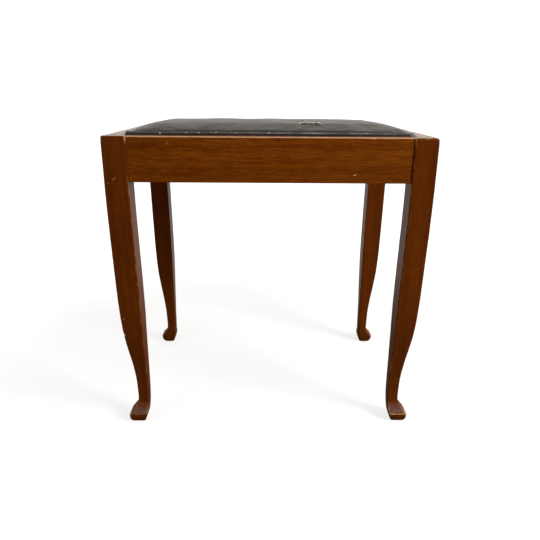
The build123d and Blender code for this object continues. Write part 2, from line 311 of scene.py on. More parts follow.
def new_group(name, inputs, outputs):
    """Empty shader node group with named sockets; gives its tree, its inputs and its output sockets."""
    tree = bpy.data.node_groups.new(name, "ShaderNodeTree")
    for socket, kind in inputs:
        tree.interface.new_socket(socket, in_out="INPUT", socket_type="NodeSocket" + kind)
    for socket, kind in outputs:
        tree.interface.new_socket(socket, in_out="OUTPUT", socket_type="NodeSocket" + kind)
    return tree, tree.nodes.new("NodeGroupInput").outputs, tree.nodes.new("NodeGroupOutput").inputs


def use_group(tree, group, inputs):
    """Outputs of a node group placed in a material."""
    return put(tree, "Group", inputs, node_tree=group).outputs


def new_material(name):
    """Material with its tree, its Principled shader's sockets and the object's own coordinates."""
    material = bpy.data.materials.new(name)
    material.use_nodes = True
    tree = material.node_tree
    place = put(tree, "TexCoord").outputs["Object"]
    return material, tree, tree.nodes["Principled BSDF"].inputs, place


# Straight hardwood grain along X: soft bands, dashes of darker fibre, fine lines, and pores
hardwood, given, result = new_group(
    "hardwood_grain",
    [("Place", "Vector"), ("Dark", "Color"), ("Light", "Color")],
    [("Color", "Color"), ("Roughness", "Float"), ("Height", "Float")],
)
sway = noise(hardwood, given["Place"], (2.5, 9, 9))
shifts = {1: calc(hardwood, "MULTIPLY", sway, 0.004), 2: calc(hardwood, "MULTIPLY", sway, 0.003)}
along = vector(hardwood, "ADD", given["Place"], put(hardwood, "CombineXYZ", shifts).outputs[0])[0]
bands = noise(hardwood, along, (3.5, 110, 110))
dashes = noise(hardwood, along, (45, 760, 760), roughness=0.55)
hairs = noise(hardwood, along, (140, 1800, 1800))
pores = ramp(hardwood, noise(hardwood, along, (130, 2600, 2600), 1.0), 0.60, 0.72)
patches = noise(hardwood, given["Place"], (5, 12, 12))
tone = line(hardwood, bands, 0.28, line(hardwood, dashes, 0.44, line(hardwood, hairs, 0.28, 0.0)))
stained = mixed(hardwood, ramp(hardwood, tone, 0.39, 0.61), given["Dark"], given["Light"])
shade = line(hardwood, pores, -0.25, line(hardwood, patches, 0.5, 0.75))
join(hardwood, mixed(hardwood, 1.0, stained, shade, "MULTIPLY"), result["Color"])
join(hardwood, line(hardwood, patches, 0.16, 0.24), result["Roughness"])
join(hardwood, line(hardwood, dashes, 0.4, line(hardwood, pores, -1.0, 0.0)), result["Height"])

# Rubbed edges: how rubbed a point is, broken up by noise
rubbing, given, result = new_group(
    "rubbed_edges", [("Place", "Vector"), ("Rubbed", "Float")], [("Mask", "Float")]
)
uneven = line(rubbing, noise(rubbing, given["Place"], (60, 60, 60), 4.0, 0.70), 1.2, -0.6)
through = ramp(rubbing, calc(rubbing, "ADD", given["Rubbed"], uneven), 0.35, 0.80)
join(rubbing, calc(rubbing, "MULTIPLY", through, given["Rubbed"]), result["Mask"])

# Small knocks: a few pale specks where the surface has chipped away
knocks, given, result = new_group(
    "small_knocks", [("Place", "Vector"), ("Number", "Float")], [("Mask", "Float")]
)
cells = put(knocks, "TexVoronoi", {"Vector": given["Place"], "Scale": given["Number"]})
chosen = put(knocks, "SeparateColor", {0: cells.outputs["Color"]}).outputs[0]
chosen = calc(knocks, "GREATER_THAN", chosen, 0.88)
speck = ramp(knocks, cells.outputs["Distance"], 0.036, 0.014)
join(knocks, calc(knocks, "MULTIPLY", chosen, speck), result["Mask"])

# One bare mark: a short scratch about a centre, along a direction, with ragged sides
bare_mark, given, result = new_group(
    "bare_mark",
    [("Place", "Vector"), ("Centre", "Vector"), ("Along", "Vector"), ("Length", "Float"), ("Width", "Float")],
    [("Mask", "Float")],
)
offset = vector(bare_mark, "SUBTRACT", given["Place"], given["Centre"])[0]
run = vector(bare_mark, "DOT_PRODUCT", offset, given["Along"])["Value"]
across = vector(bare_mark, "CROSS_PRODUCT", offset, given["Along"])[0]
aside = vector(bare_mark, "LENGTH", across)["Value"]
run_share = calc(bare_mark, "DIVIDE", calc(bare_mark, "ABSOLUTE", run), given["Length"])
aside_share = calc(bare_mark, "DIVIDE", aside, given["Width"])
ragged = calc(bare_mark, "ADD", calc(bare_mark, "MAXIMUM", run_share, aside_share),
              noise(bare_mark, given["Place"], (900, 900, 900), 1.0))
join(bare_mark, ramp(bare_mark, ragged, 1.55, 1.15), result["Mask"])

# pale rubbed wood, lightened partly as a painted highlight on rubbed arrises
worn_wood_and_highlight = (0.74, 0.42, 0.215, 1)
# grey-mauve of the foot's scuffed faces, partly a painted sheen
scuffed_wood_and_sheen = (0.18, 0.105, 0.082, 1)
bare_wood = (0.66, 0.47, 0.29, 1)


def varnished_wood(name, turn, dark, light, marks):
    """Varnished hardwood whose grain lies along X after a turn, rubbed, scuffed and dulled as its piece
    says, the scuffs a grey tone that is partly painted sheen, with small knocks and the given bare marks:
    (centre, direction, half length, half width)."""
    material, tree, shader, place = new_material(name)
    grain_place = put(tree, "Mapping", {"Vector": place, "Rotation": turn}).outputs[0]
    grain = use_group(tree, hardwood, {"Place": grain_place, "Dark": dark, "Light": light})
    rubbed = use_group(tree, rubbing, {"Place": place, "Rubbed": stored(tree, "rubbed")})["Mask"]
    bare = use_group(tree, knocks, {"Place": place, "Number": 38.0})["Mask"]
    for centre, direction, length, width in marks:
        sizes = {"Centre": centre, "Along": direction, "Length": length, "Width": width}
        bare = calc(tree, "MAXIMUM", bare, use_group(tree, bare_mark, {"Place": place, **sizes})["Mask"])
    patches = ramp(tree, noise(tree, place, (130, 130, 130), 3.0), 0.25, 0.65)
    # Painted sheen: the foot's outward faces turn grey-mauve, partly scuffs and partly painted reflection
    scuffs_and_sheen = calc(tree, "MULTIPLY", stored(tree, "scuffed_and_sheen"), line(tree, patches, 0.6, 0.2))
    colour = mixed(tree, scuffs_and_sheen, grain["Color"], scuffed_wood_and_sheen)
    # Rubbed edges turn pale, partly wear and partly a painted highlight
    colour = mixed(tree, calc(tree, "MULTIPLY", rubbed, 0.9), colour, worn_wood_and_highlight)
    join(tree, mixed(tree, bare, colour, bare_wood), shader["Base Color"])
    dulled = stored(tree, "dulled")
    roughness = line(tree, calc(tree, "MAXIMUM", rubbed, bare), 0.2, grain["Roughness"])
    join(tree, line(tree, dulled, 0.12, roughness), shader["Roughness"])
    join(tree, line(tree, dulled, -0.25, 0.5), shader["Coat Weight"])
    join(tree, raised(tree, line(tree, bare, -2.0, grain["Height"]), 0.22, 0.0003), shader["Normal"])
    shader["Specular IOR Level"].default_value = 0.10
    shader["Coat IOR"].default_value = 1.06
    shader["Coat Roughness"].default_value = 0.10
    return material


leg_dark = (0.103, 0.0193, 0.0004, 1)
leg_light = (0.153, 0.0320, 0.0008, 1)
leg_marks = [
    ((-0.2344, -0.1785, 0.4299), (0.83, 0, 0.56), 0.0034, 0.0003),
    ((-0.2440, -0.1785, 0.4232), (0.5, 0, 0.87), 0.0008, 0.0004),
    ((-0.2319, -0.1766, 0.3213), (0.3, 0, 0.95), 0.0018, 0.0005),
    ((-0.2395, -0.1735, 0.1987), (0.6, 0, 0.8), 0.0018, 0.0005),
    ((-0.2415, -0.1705, 0.1685), (0, 0, 1), 0.0026, 0.0018),
]
leg_wood = varnished_wood("leg_wood", (0, math.radians(90), 0), leg_dark, leg_light, leg_marks)

leg_places = {"front_left": (1, 1), "front_right": (-1, 1), "back_left": (1, -1), "back_right": (-1, -1)}
end_rubbings = {"front_left": 0.58, "front_right": 0.95, "back_left": 0.60, "back_right": 0.60}
top_eases = {"front_left": 0.0018, "front_right": 0.0040, "back_left": 0.0028, "back_right": 0.0028}
for number, (corner, signs) in enumerate(leg_places.items()):
    points, worn = leg_form(10 * number, top_eases[corner], end_rubbings[corner], corner == "front_left")
    points[..., :2] *= signs
    way_round = signs[0] * signs[1]
    points = points[:, ::way_round]
    leg = make_piece(corner + "_leg", points, tube_faces(*points.shape[:2]))
    for wear, values in worn.items():
        store(leg, wear, values[:, ::way_round])
    leg.data.materials.append(leg_wood)
    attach(leg, "frame")
    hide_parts("leg_" + corner)

# Rails
# Four planks of the same hardwood, tenoned into the legs a little behind their faces. Their arrises are
# eased by about a millimetre, and the top outer one is painted pale: wear from hands and knees, and a
# painted highlight where it rounds over.
rail_setback = 0.002
joint_gap = 0.0004  # the old joints stand open by a hair
rail_radii = np.array([0.0010, 0.0008, 0.0010, 0.0011])  # bottom front, bottom back, top back, top front
# the top front arris is rubbed palest: wear, and a painted highlight where it rounds over
rail_rubbing = np.array([0.20, 0.10, 0.55, 1.0])
rail_edge_reach = 0.0006
rail_waver = 0.07
rail_step = 0.003
rail_top_skin = 0.0002  # points this close to the top lie on its face
rail_nick_place = 0.1519  # along the front rail
rail_nick_reach = 0.0016
rail_nick_depth = 0.0014


def rail_form(half_span, reach, seed, nicked):
    """Points (rows, columns, 3) of a rail along X on the side that faces -Y, and how rubbed and dulled each
    is: one eased rectangle carried along a straight line, its arrises wavering a little."""
    along = np.linspace(-half_span, half_span, int(half_span * 2 / rail_step))
    low = np.broadcast_to([rail_setback - reach, rail_bottom], (len(along), 2))
    high = np.broadcast_to([rail_inner - reach, frame_top], (len(along), 2))
    waver = np.stack([hand_waver(along, seed + corner) for corner in range(4)], axis=1)
    radii = rail_radii * (1 + rail_waver * waver)
    if nicked:
        radii[:, 3] += rail_nick_depth * bell(along - rail_nick_place, rail_nick_reach)
    rings, gaps = close_rings(eased_rings(low, high, radii))
    places = np.broadcast_to(along[:, None, None], rings.shape[:2] + (1,))
    worn = {
        "rubbed": rail_rubbing[arris_of_column] * bell(gaps, rail_edge_reach),
        "dulled": rings[..., 1] > frame_top - rail_top_skin,
    }
    return np.concatenate([places, rings], axis=-1), worn


rail_dark = (0.124, 0.0238, 0.0004, 1)
rail_light = (0.232, 0.0564, 0.0016, 1)
rail_marks = [
    ((0.1272, -0.1765, 0.4370), (0.87, 0, 0.5), 0.0027, 0.0006),
    ((-0.1681, -0.1765, 0.4597), (1, 0, 0), 0.0005, 0.0004),
    ((-0.1610, -0.1765, 0.4413), (1, 0, 0), 0.0005, 0.0003),
    ((-0.1528, -0.1765, 0.4822), (0.8, 0, 0.6), 0.0007, 0.0003),
    ((0.1323, -0.1765, 0.4747), (0.87, 0, 0.5), 0.0016, 0.0002),
    ((0.1952, -0.1765, 0.4722), (0.7, 0, 0.7), 0.0009, 0.0003),
]
long_rail_wood = varnished_wood("long_rail_wood", (0, 0, 0), rail_dark, rail_light, rail_marks)
short_rail_wood = varnished_wood("short_rail_wood", (0, 0, math.radians(-90)), rail_dark, rail_light, [])

rail_turns = {"front_rail": 0, "right_rail": 90, "back_rail": 180, "left_rail": 270}
for number, (node, degrees) in enumerate(rail_turns.items()):
    long_way = degrees % 180 == 0
    span, reach = outer_faces if long_way else outer_faces[::-1]
    points, worn = rail_form(span - leg_side - joint_gap, reach, 100 + 10 * number, node == "front_rail")
    turn = np.array(Matrix.Rotation(math.radians(degrees), 3, "Z"))
    rail = make_piece(node + "_plank", points @ turn.T, tube_faces(*points.shape[:2]))
    for wear, values in worn.items():
        store(rail, wear, values)
    rail.data.materials.append(long_rail_wood if long_way else short_rail_wood)
    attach(rail, "frame")
    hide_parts(node)

# Corner blocks and bearers
# Pale beech offcuts straight from the saw, glued and screwed inside the rails to carry the seat. They
# were never varnished and have gone a dusty brown.
beech_dark = (0.30, 0.165, 0.075, 1)
beech_light = (0.50, 0.33, 0.175, 1)
beech_fleck = (0.20, 0.10, 0.045, 1)
beech_dust = (0.30, 0.24, 0.17, 1)


def sawn_beech(name, turn):
    """Sawn beech: straight grain along X after a turn, short dark flecks, dust, and saw marks across."""
    material, tree, shader, place = new_material(name)
    grain_place = put(tree, "Mapping", {"Vector": place, "Rotation": turn}).outputs[0]
    grain = use_group(tree, hardwood, {"Place": grain_place, "Dark": beech_dark, "Light": beech_light})
    flecks = ramp(tree, noise(tree, grain_place, (260, 900, 900), 1.0), 0.62, 0.70)
    dust = noise(tree, place, (30, 30, 30), 3.0)
    colour = mixed(tree, calc(tree, "MULTIPLY", flecks, 0.35), grain["Color"], beech_fleck)
    join(tree, mixed(tree, calc(tree, "MULTIPLY", dust, 0.35), colour, beech_dust), shader["Base Color"])
    join(tree, line(tree, dust, 0.25, 0.6), shader["Roughness"])
    saw = put(tree, "TexWave", {"Vector": grain_place, "Scale": 180.0, "Distortion": 1.5, "Detail": 1.0})
    height = line(tree, saw.outputs["Fac"], 0.8, grain["Height"])
    join(tree, raised(tree, height, 0.35, 0.0003), shader["Normal"])
    shader["Specular IOR Level"].default_value = 0.3
    return material


def finish_node(node, material):
    """Gives a CAD node its finish."""
    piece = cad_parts[node]
    piece.data.materials.clear()
    piece.data.materials.append(material)


falling_beech = sawn_beech("block_beech_falling", (0, 0, math.radians(45)))
rising_beech = sawn_beech("block_beech_rising", (0, 0, math.radians(-45)))
for corner, material in zip(leg_places, (falling_beech, rising_beech, rising_beech, falling_beech)):
    finish_node("corner_block_" + corner, material)

bearer_beech = sawn_beech("bearer_beech", (0, 0, 0))
for side in ("front", "back"):
    finish_node(side + "_bearer", bearer_beech)

# Screws
# Slotted countersunk steel wood screws, two through each corner block and three through each bearer,
# dulled and freckled with rust.
screw_bright = (0.42, 0.40, 0.37, 1)
screw_rust = (0.16, 0.065, 0.025, 1)
screw_steel, tree, shader, place = new_material("screw_steel")
rust = ramp(tree, noise(tree, place, (420, 420, 420), 4.0, 0.65), 0.50, 0.68)
join(tree, mixed(tree, rust, screw_bright, screw_rust), shader["Base Color"])
join(tree, line(tree, rust, -1.0, 1.0), shader["Metallic"])
join(tree, line(tree, rust, 0.4, 0.38), shader["Roughness"])
for node in ("corner_block_screws", "bearer_screws"):
    finish_node(node, screw_steel)

# Seat board
# Birch plywood with rounded corners, bare underneath, where its rotary-cut face shows between the
# turned-under edges of the cover.
veneer_dark = (0.36, 0.225, 0.105, 1)
veneer_light = (0.56, 0.395, 0.215, 1)
plywood, tree, shader, place = new_material("birch_plywood")
swirl = noise(tree, place, (5, 26, 26), 4.0, 0.55)
rings = calc(tree, "FRACT", calc(tree, "MULTIPLY", swirl, 9.0))
hairs = noise(tree, place, (40, 900, 900), 3.0)
figure = line(tree, rings, 0.35, line(tree, hairs, 0.65, 0.0))
age = line(tree, noise(tree, place, (8, 8, 8), 3.0), 0.6, 0.6)
veneer = mixed(tree, ramp(tree, figure, 0.2, 0.8), veneer_dark, veneer_light)
join(tree, mixed(tree, 1.0, veneer, age, "MULTIPLY"), shader["Base Color"])
join(tree, line(tree, hairs, 0.2, 0.6), shader["Roughness"])
join(tree, raised(tree, hairs, 0.25, 0.0002), shader["Normal"])
shader["Specular IOR Level"].default_value = 0.3
finish_node("seat_board", plywood)

# Seat foam
# A slab of aged yellow foam on the board, crowned in the middle and held down at the edges by the cover
# pulled over it. It shows only through the tear, where it crumbles.
cover_low, cover_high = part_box("seat_cover")
seat_half = np.array([cover_high.x, cover_high.y])
seat_draw = 0.0008  # the sides lean in from the board to the edge
seat_top_half = seat_half - seat_draw
seat_corner = 0.0090
seat_proud = 0.0010  # its edge stands this far above the frame
seat_edge = frame_top + seat_proud
seat_crown = cover_high.z - seat_edge
crown_powers = np.array([6.06, 2.125])  # along X and along Y
crown_roll = 0.463
corner_fullness = 0.012
board_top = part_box("seat_board")[1].z
foam_inset = 0.0014
foam_ridge = 0.0005  # a soft roll low on the sides, over the edge of the board
ridge_drop = 0.0035
ridge_spread = 0.0010
firm_edge = 0.012  # the foam stays as it is this far in from the edge
swell_room = 0.0018  # the seat starts this much lower in the middle, and the pressure inside lifts it
swell_run = 0.060
swell_cap = 0.0025
swell_frames = 20
grid_step = 0.0036  # between grid lines, away from the edge and the tear
grid_band = 0.024  # the lines crowd together this far in from the edge
least_corner = 0.0006
tear_middle = np.array([0.0650, -0.0830])
tear_half = 0.0185
tear_lip = 0.008  # width of cloth that curls up beside the tear
tear_step = 0.001
tear_margin = 0.004
crumb_reach = 0.006  # the foam has crumbled away this far beside the tear
crumb_depths = (0.0008, 0.0024)


def seat_lines(half, fine_middle, fine_half):
    """Places of grid lines across the seat: closer and closer towards the edge, where the top rolls over,
    even in the middle, and close again about the tear."""
    edge = grid_band * np.linspace(0, 1, 17)[:-1] ** 2
    middle = np.linspace(grid_band - half, half - grid_band, int(2 * (half - grid_band) / grid_step))
    lines = np.concatenate([edge - half, middle, half - edge[::-1]])
    fine = np.arange(-fine_half, fine_half + tear_step / 2, tear_step) + fine_middle
    away = np.abs(lines - fine_middle) > fine_half + grid_step / 2
    return np.sort(np.concatenate([lines[away], fine]))


def seat_plan(xs, ys):
    """Grid lines laid over a rectangle with round corners: in each corner square the grid is turned
    into a quarter disc, a point going to its larger share of the radius, at an angle that is its smaller
    share of an eighth turn. Gives the square grid, the rounded one, both (rows, columns, 2), and each
    point's distance in from the outline."""
    plan = np.stack(np.meshgrid(xs, ys), axis=-1)
    share = 1 - (seat_top_half - np.abs(plan)) / seat_corner
    across, along = np.moveaxis(np.clip(share, 0, None), -1, 0)
    big = np.maximum(across, along)
    angle = np.pi / 4 * np.minimum(across, along) / np.maximum(big, 1e-9)
    angle = np.where(across >= along, angle, np.pi / 2 - angle)
    disc = seat_corner * big[..., None] * np.stack([np.cos(angle), np.sin(angle)], axis=-1)
    rounded = np.sign(plan) * (seat_top_half - seat_corner + disc)
    in_corner = (share > 0).all(axis=-1, keepdims=True)
    return plan, np.where(in_corner, rounded, plan), seat_corner * (1 - share.max(axis=-1))


def crown_share(plan):
    """Share of the crown: (1 - |x|^6.06)(1 - |y|^2.125), with x and y as shares of the seat's half sides,
    to a power under a half, so that the top rolls over steeply at its edge. In the corners the lesser of
    the two shares takes over, which keeps the roll as high there as along the sides."""
    rolls = (1 - np.clip(np.abs(plan) / seat_top_half, 0, 1) ** crown_powers) ** crown_roll
    in_corner = bell(np.linalg.norm(seat_top_half - np.abs(plan), axis=-1), corner_fullness)
    both = rolls.prod(axis=-1)
    return both + in_corner * (rolls.min(axis=-1) - both)


def rim_of(index):
    """The outermost points of a grid, once round, anticlockwise seen from above."""
    return np.concatenate([index[0, :-1], index[:-1, -1], index[-1, :0:-1], index[:0:-1, 0]])


def grid_faces(index):
    """Quads between neighbouring rows and columns of a grid of point numbers."""
    corners = [index[:-1, :-1], index[:-1, 1:], index[1:, 1:], index[1:, :-1]]
    return np.stack(corners, axis=-1).reshape(-1, 4)


def rings_below(rim, outs, heights):
    """Rings (rows, points, 3) that follow a rim, each moved out by its own amount at its own height: the
    round corners keep their centres while they shrink, and past those the whole ring draws in."""
    core_half = seat_top_half - seat_corner
    core = np.clip(rim, -core_half, core_half)
    rays = (rim - core) / seat_corner
    out = outs[:, None, None]
    radius = np.maximum(seat_corner + out, least_corner)
    rings = core * (seat_top_half + out - radius) / core_half + rays * radius
    levels = np.broadcast_to(heights[:, None, None], rings.shape[:2] + (1,))
    return np.concatenate([rings, levels], axis=-1)


def skirt_faces(rings):
    """Quads of a skirt whose rings of point numbers run downwards."""
    across = np.roll(rings, -1, axis=1)
    return np.stack([rings[1:], across[1:], across[:-1], rings[:-1]], axis=-1).reshape(-1, 4)


def blown_up(points, faces, held):
    """Points after a short cloth simulation in which air presses the skin outwards while the held
    points stay, no point moving further than the cap."""
    skin = make_piece("seat_skin", points, faces.tolist())
    skin.vertex_groups.new(name="held").add(np.flatnonzero(held).tolist(), 1.0, "REPLACE")
    cloth = skin.modifiers.new("cloth", "CLOTH")
    cloth.settings.vertex_group_mass = "held"
    cloth.settings.quality = 6
    cloth.settings.mass = 0.4
    cloth.settings.tension_stiffness = 60
    cloth.settings.compression_stiffness = 60
    cloth.settings.shear_stiffness = 30
    cloth.settings.bending_stiffness = 4
    cloth.settings.shrink_min = -0.002
    cloth.settings.use_pressure = True
    cloth.settings.uniform_pressure_force = 1
    cloth.settings.effector_weights.gravity = 0
    cloth.collision_settings.use_collision = False
    cloth.point_cache.frame_end = swell_frames
    for moment in range(1, swell_frames + 1):
        bpy.context.scene.frame_set(moment)
    shown = skin.evaluated_get(bpy.context.evaluated_depsgraph_get()).to_mesh()
    blown = np.empty(points.size)
    shown.vertices.foreach_get("co", blown)
    move = blown.reshape(-1, 3) - points
    length = np.linalg.norm(move, axis=1, keepdims=True)
    bpy.context.scene.frame_set(1)
    bpy.data.objects.remove(skin)
    return points + move * np.minimum(1, swell_cap / np.maximum(length, 1e-9))


def slack(plan, length, seed):
    """Wandering unevenness about one unit high: eight sines of that length in drawn directions."""
    draw = np.random.default_rng(seed)
    angles, phases = draw.uniform(0, 2 * np.pi, (2, 8))
    sizes = draw.uniform(0.7, 1.4, 8) * length
    waves = np.stack([np.cos(angles), np.sin(angles)]) * 2 * np.pi / sizes
    return np.sin(plan @ waves + phases).sum(axis=-1) / 3


seat_xs = seat_lines(seat_top_half[0], tear_middle[0], tear_half + tear_margin)
seat_ys = seat_lines(seat_top_half[1], tear_middle[1], tear_lip)
square, plan, inward = seat_plan(seat_xs, seat_ys)
heights = seat_edge + seat_crown * crown_share(square)
into_middle = np.clip((inward - firm_edge) / swell_run, 0, 1)
heights -= swell_room * into_middle**2 * (3 - 2 * into_middle)
top = np.concatenate([plan, heights[..., None]], axis=-1).reshape(-1, 3)
top_index = np.arange(len(top)).reshape(plan.shape[:2])
rim_index = rim_of(top_index)
down = np.linspace(0.2, 1, 5)
side_heights = seat_edge + (board_top - seat_edge) * down
side_outs = seat_draw * down + foam_ridge * bell(side_heights - seat_edge + ridge_drop, ridge_spread)
sides = rings_below(top[rim_index, :2], side_outs, side_heights)
side_index = len(top) + np.arange(sides[..., 0].size).reshape(sides.shape[:2])
skin = np.concatenate([top, sides.reshape(-1, 3)])
skin_faces = np.concatenate([grid_faces(top_index), skirt_faces(np.vstack([rim_index, side_index]))])
held = np.concatenate([(inward < firm_edge).ravel(), np.ones(side_index.size, bool)])
skin = blown_up(skin, skin_faces, held)

# Pull towards the tacks along the edges, and slack that wanders over the top
tack_pitch = 0.041
pull_reach = 0.014
pull_height = 0.00028
slack_height = 0.00030
ripple_height = 0.00010
slack_fade = 0.006  # both fade out over this much of the roll at the edge
plan = skin[:, :2]
edge_gaps = seat_top_half - np.abs(plan)
along_edge = np.take_along_axis(plan, 1 - edge_gaps.argmin(axis=1, keepdims=True), axis=1)[:, 0]
near_edge = np.exp(-np.maximum(edge_gaps.min(axis=1), 0) / pull_reach)
pull = np.cos(2 * np.pi * along_edge / tack_pitch) * near_edge
on_top = np.clip((skin[:, 2] - seat_edge) / slack_fade, 0, 1)
uneven = pull_height * pull + slack_height * slack(plan, 0.085, 21)
uneven += ripple_height * slack(plan, 0.026, 22)
skin[:, 2] += on_top * uneven

shrink = np.append(1 - foam_inset / seat_half, 1.0)
foam_points = skin * shrink - (0, 0, foam_inset)
beside_tear = (foam_points[:, :2] - tear_middle) / (tear_half, crumb_reach)
crumbs = np.random.default_rng(5).uniform(*crumb_depths, len(foam_points))
foam_points[:, 2] -= crumbs * np.exp(-(beside_tear**2).sum(axis=1))
foam_points[:, 2] = np.maximum(foam_points[:, 2], board_top)
foam = make_piece("foam_slab", foam_points, skin_faces.tolist() + [side_index[-1, ::-1].tolist()])

foam_pale = (0.80, 0.66, 0.30, 1)
foam_brown = (0.62, 0.43, 0.16, 1)
foam_stuff, tree, shader, place = new_material("aged_foam")
cells = put(tree, "TexVoronoi", {"Vector": place, "Scale": 1400.0}).outputs["Distance"]
age = noise(tree, place, (90, 90, 90), 3.0)
join(tree, mixed(tree, age, foam_pale, foam_brown), shader["Base Color"])
join(tree, line(tree, age, 0.1, 0.85), shader["Roughness"])
join(tree, raised(tree, cells, 0.6, 0.0005), shader["Normal"])
shader["Specular IOR Level"].default_value = 0.1
foam.data.materials.append(foam_stuff)
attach(foam, "seat")
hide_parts("seat_foam")

# Seat cover
# One piece of black leathercloth on a cream cotton back, pulled over the foam and the board's edge,
# pleated at the corners and tacked underneath. It is split on the right, where the back lip curls up.
cover_thickness = 0.0012
border_width = 0.026
border_bottom = cover_low.z
cover_turn = 0.0024  # radius where the cover turns under the board
pleat_depth = 0.0008
pleat_angles = (-0.30, 0.24)  # radians either side of the middle of a corner
pleat_spread = 0.10
pleat_reach = 0.010  # along the sides from a corner
pleat_top = 0.005  # pleats start this far above the edge
pleat_fade = 0.004
pleat_foot = 0.006  # and die out over this height where the cover turns under
curl_radius = {-1: 0.0500, 1: 0.0065}  # front lip and back lip of the tear
tear_wander = 0.0022  # its line wanders this much to either side
highlight_line = 0.0026  # a highlight is painted pale along a line this far above the edge, where flakes of coating come off too
highlight_line_spread = 0.0008
worn_from = 0.007  # and the top is dusty and worn from this far above it; the sides below keep a darker black, clean coating and partly painted shade beside the rails

# The skirt goes on from the foam's side: down past the board, round under it, and in along the border
under = np.linspace(0, np.pi / 2, 6)[1:]
inward_run = np.linspace(0, 1, 9)[1:]
skirt_outs = np.concatenate([
    [seat_draw, seat_draw],
    seat_draw - cover_turn * (1 - np.cos(under)),
    seat_draw - cover_turn - (border_width - cover_turn) * inward_run,
])
skirt_heights = np.concatenate([
    board_top + (border_bottom + cover_turn - board_top) * np.array([0.5, 1]),
    border_bottom + cover_turn * (1 - np.sin(under)),
    np.full(len(inward_run), border_bottom),
])
skirt = rings_below(top[rim_index, :2], skirt_outs, skirt_heights)
skirt_index = len(skin) + np.arange(skirt[..., 0].size).reshape(skirt.shape[:2])
points = np.concatenate([skin, skirt.reshape(-1, 3)])
hanging = skirt_faces(np.vstack([rim_index, side_index, skirt_index]))

# Pleats: narrow grooves down each corner of the skirt
beyond = np.abs(points[:, :2]) - (seat_half - seat_corner)
corner_angle = np.arctan2(beyond[:, 1], beyond[:, 0]) - np.pi / 4
near_corner = bell(np.maximum(0, -beyond.min(axis=1)), pleat_reach)
grooves = sum(bell(corner_angle - pleat_angle, pleat_spread) for pleat_angle in pleat_angles)
below_edge = np.clip((seat_edge + pleat_top - points[:, 2]) / pleat_fade, 0, 1)
above_border = np.clip((points[:, 2] - border_bottom - cover_turn) / pleat_foot, 0, 1)
outward = np.sign(points[:, :2]) * np.maximum(beyond + seat_corner, 0)
outward /= np.maximum(np.linalg.norm(outward, axis=1, keepdims=True), 1e-9)
points[:, :2] -= outward * (pleat_depth * grooves * near_corner * above_border * below_edge)[:, None]

# The tear: points along its line are doubled, and each lip rolls up on a radius that is tightest in the
# middle, its edge jagged: a point s from the lip's root goes to (radius sin, radius (1 - cos)) of s/radius
tear_row = np.abs(seat_ys - tear_middle[1]).argmin()
along_tear = (seat_xs - tear_middle[0]) / tear_half
torn = np.flatnonzero(np.abs(along_tear) < 1)
doubles = len(points) + np.arange(len(torn))
points = np.concatenate([points, points[top_index[tear_row, torn]]])
behind = top_index[tear_row:].copy()
behind[0, torn] = doubles
faces = np.concatenate([grid_faces(top_index[: tear_row + 1]), grid_faces(behind), hanging])
draw = np.random.default_rng(8)
jags = np.interp(seat_xs[torn], seat_xs[torn[::3]], draw.uniform(0.45, 1.0, len(torn[::3])))
wander = np.interp(seat_xs[torn], seat_xs[torn[::4]], draw.uniform(-tear_wander, tear_wander, len(torn[::4])))
opening = np.sqrt(1 - along_tear[torn] ** 4)
lip_rows = np.arange(round(tear_lip / tear_step))
from_root = tear_lip - lip_rows[:, None] * tear_step
for side, radius in curl_radius.items():
    numbers = top_index[tear_row + side * lip_rows][:, torn]
    if side > 0:
        numbers[0] = doubles
    bend = radius / (opening * jags)
    lip = points[numbers]
    drawn_in = side * (from_root - bend * np.sin(from_root / bend))
    lip[..., 1] += drawn_in + wander * opening * from_root / tear_lip
    lip[..., 2] += bend * (1 - np.cos(from_root / bend))
    points[numbers] = lip

cover = make_piece("leathercloth_cover", points, faces.tolist(), sharp_angle=180)
store(cover, "worn", np.clip((points[:, 2] - seat_edge) / worn_from, 0, 1))
# The edge line carries the painted highlight and places the flakes
store(cover, "edge", bell(points[:, 2] - seat_edge - highlight_line, highlight_line_spread))

coating_side_shaded = (0.011, 0.009, 0.008, 1)
coating_top = (0.032, 0.027, 0.021, 1)
coating_dusty = (0.075, 0.063, 0.047, 1)
painted_edge_highlight = (0.24, 0.235, 0.23, 1)
coating_flaked = (0.78, 0.75, 0.71, 1)
leathercloth, tree, shader, place = new_material("leathercloth")
pebbles = put(tree, "TexVoronoi", {"Vector": place, "Scale": 1100.0}, feature="SMOOTH_F1").outputs["Distance"]
creases = noise(tree, place, (260, 260, 260), 3.0, 0.6)
mottle = noise(tree, place, (22, 22, 22), 4.0, 0.6)
film = ramp(tree, mottle, 0.35, 0.70)
worn = stored(tree, "worn")
# The sides take a darker black than the top: cleaner coating, and partly painted shade where the cover drops
# beside the rails
colour = mixed(tree, worn, coating_side_shaded, mixed(tree, film, coating_top, coating_dusty))
edge = stored(tree, "edge")
where = put(tree, "SeparateXYZ", {0: place}).outputs
on_right = ramp(tree, where["X"], -0.06, 0.08)
on_front = ramp(tree, where["Y"], -0.120, -0.142)
